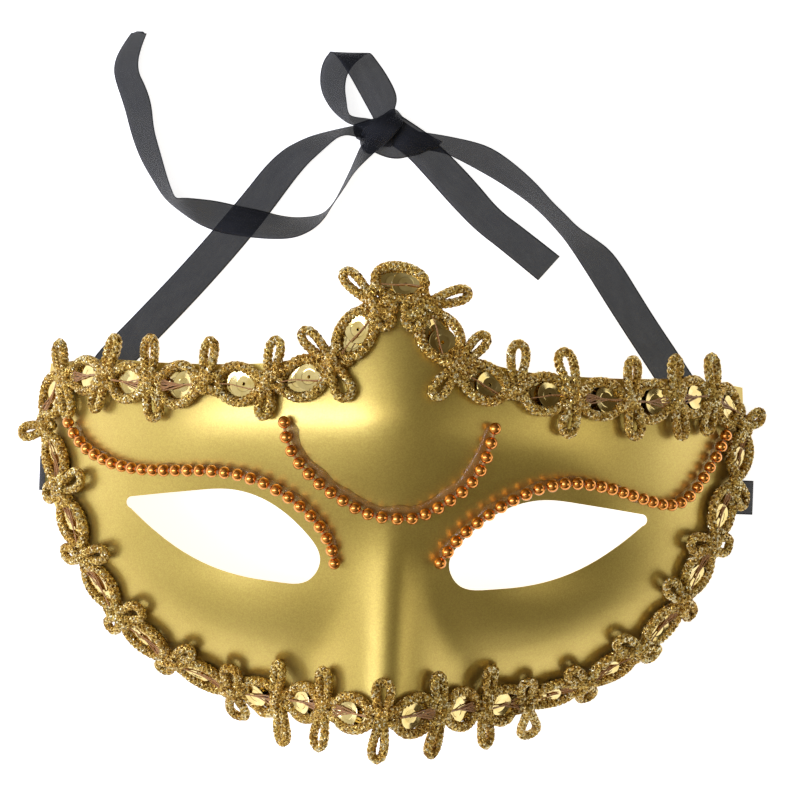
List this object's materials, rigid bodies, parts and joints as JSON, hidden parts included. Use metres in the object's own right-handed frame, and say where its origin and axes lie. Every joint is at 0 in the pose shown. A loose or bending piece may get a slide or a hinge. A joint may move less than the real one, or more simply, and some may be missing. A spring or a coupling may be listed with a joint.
{
  "type": "venetian masquerade mask",
  "caption": "Gold half mask with a pointed crest and eye holes, edged with looped sequin braid, with bead strings and a ribbon tie.",
  "frame": {"origin": "on the table under the middle of the mask with its braid, without the ribbons", "axes": "+X to the right of someone facing the mask, +Y up its face towards the crest, +Z out of the face"},
  "size_m": [0.1884, 0.1775, 0.0632],
  "materials": {
    "gold_plastic": "satin gold paint with fine metallic flake",
    "bead_plating": "bright copper-orange plating on plastic beads",
    "bead_cord": "twisted thread",
    "clear_glue": "clear to amber hot-melt glue",
    "gold_cord": "plied metallic gold braid with glitter film",
    "sequin_foil": "gold mirror film",
    "copper_stitch": "copper-brown thread",
    "ribbon": "thin charcoal taffeta ribbon, slightly see-through"
  },
  "bodies": {
    "mask": {"face_shell": "gold_plastic", "forehead_beads": "bead_plating", "forehead_glue": "clear_glue", "forehead_thread": "bead_cord", "left_brow_beads": "bead_plating", "left_brow_glue": "clear_glue", "left_brow_thread": "bead_cord", "left_ribbon_glue": "clear_glue", "left_ribbon_tab": "ribbon", "lower_trim_crossings": "gold_cord", "lower_trim_glue": "clear_glue", "lower_trim_picots": "gold_cord", "lower_trim_rings": "gold_cord", "lower_trim_sequins": "sequin_foil", "lower_trim_stitches": "copper_stitch", "right_brow_beads": "bead_plating", "right_brow_glue": "clear_glue", "right_brow_thread": "bead_cord", "right_ribbon_glue": "clear_glue", "right_ribbon_tab": "ribbon", "upper_trim_crossings": "gold_cord", "upper_trim_glue": "clear_glue", "upper_trim_picots": "gold_cord", "upper_trim_rings": "gold_cord", "upper_trim_sequins": "sequin_foil", "upper_trim_stitches": "copper_stitch"},
    "strap": {"left_ribbon_strap": "ribbon", "right_ribbon_strap": "ribbon", "left_ribbon_tail": "ribbon", "right_ribbon_tail": "ribbon", "bow_loop": "ribbon", "bow_knot": "ribbon"}
  },
  "joints": [
    {"name": "strap_swing", "type": "hinge", "parent": "mask", "child": "strap", "pos_m": [0.00108, 0.00607, 0.00035], "axis": [-1, 0, 0], "range_deg": [0, 120]}
  ]
}
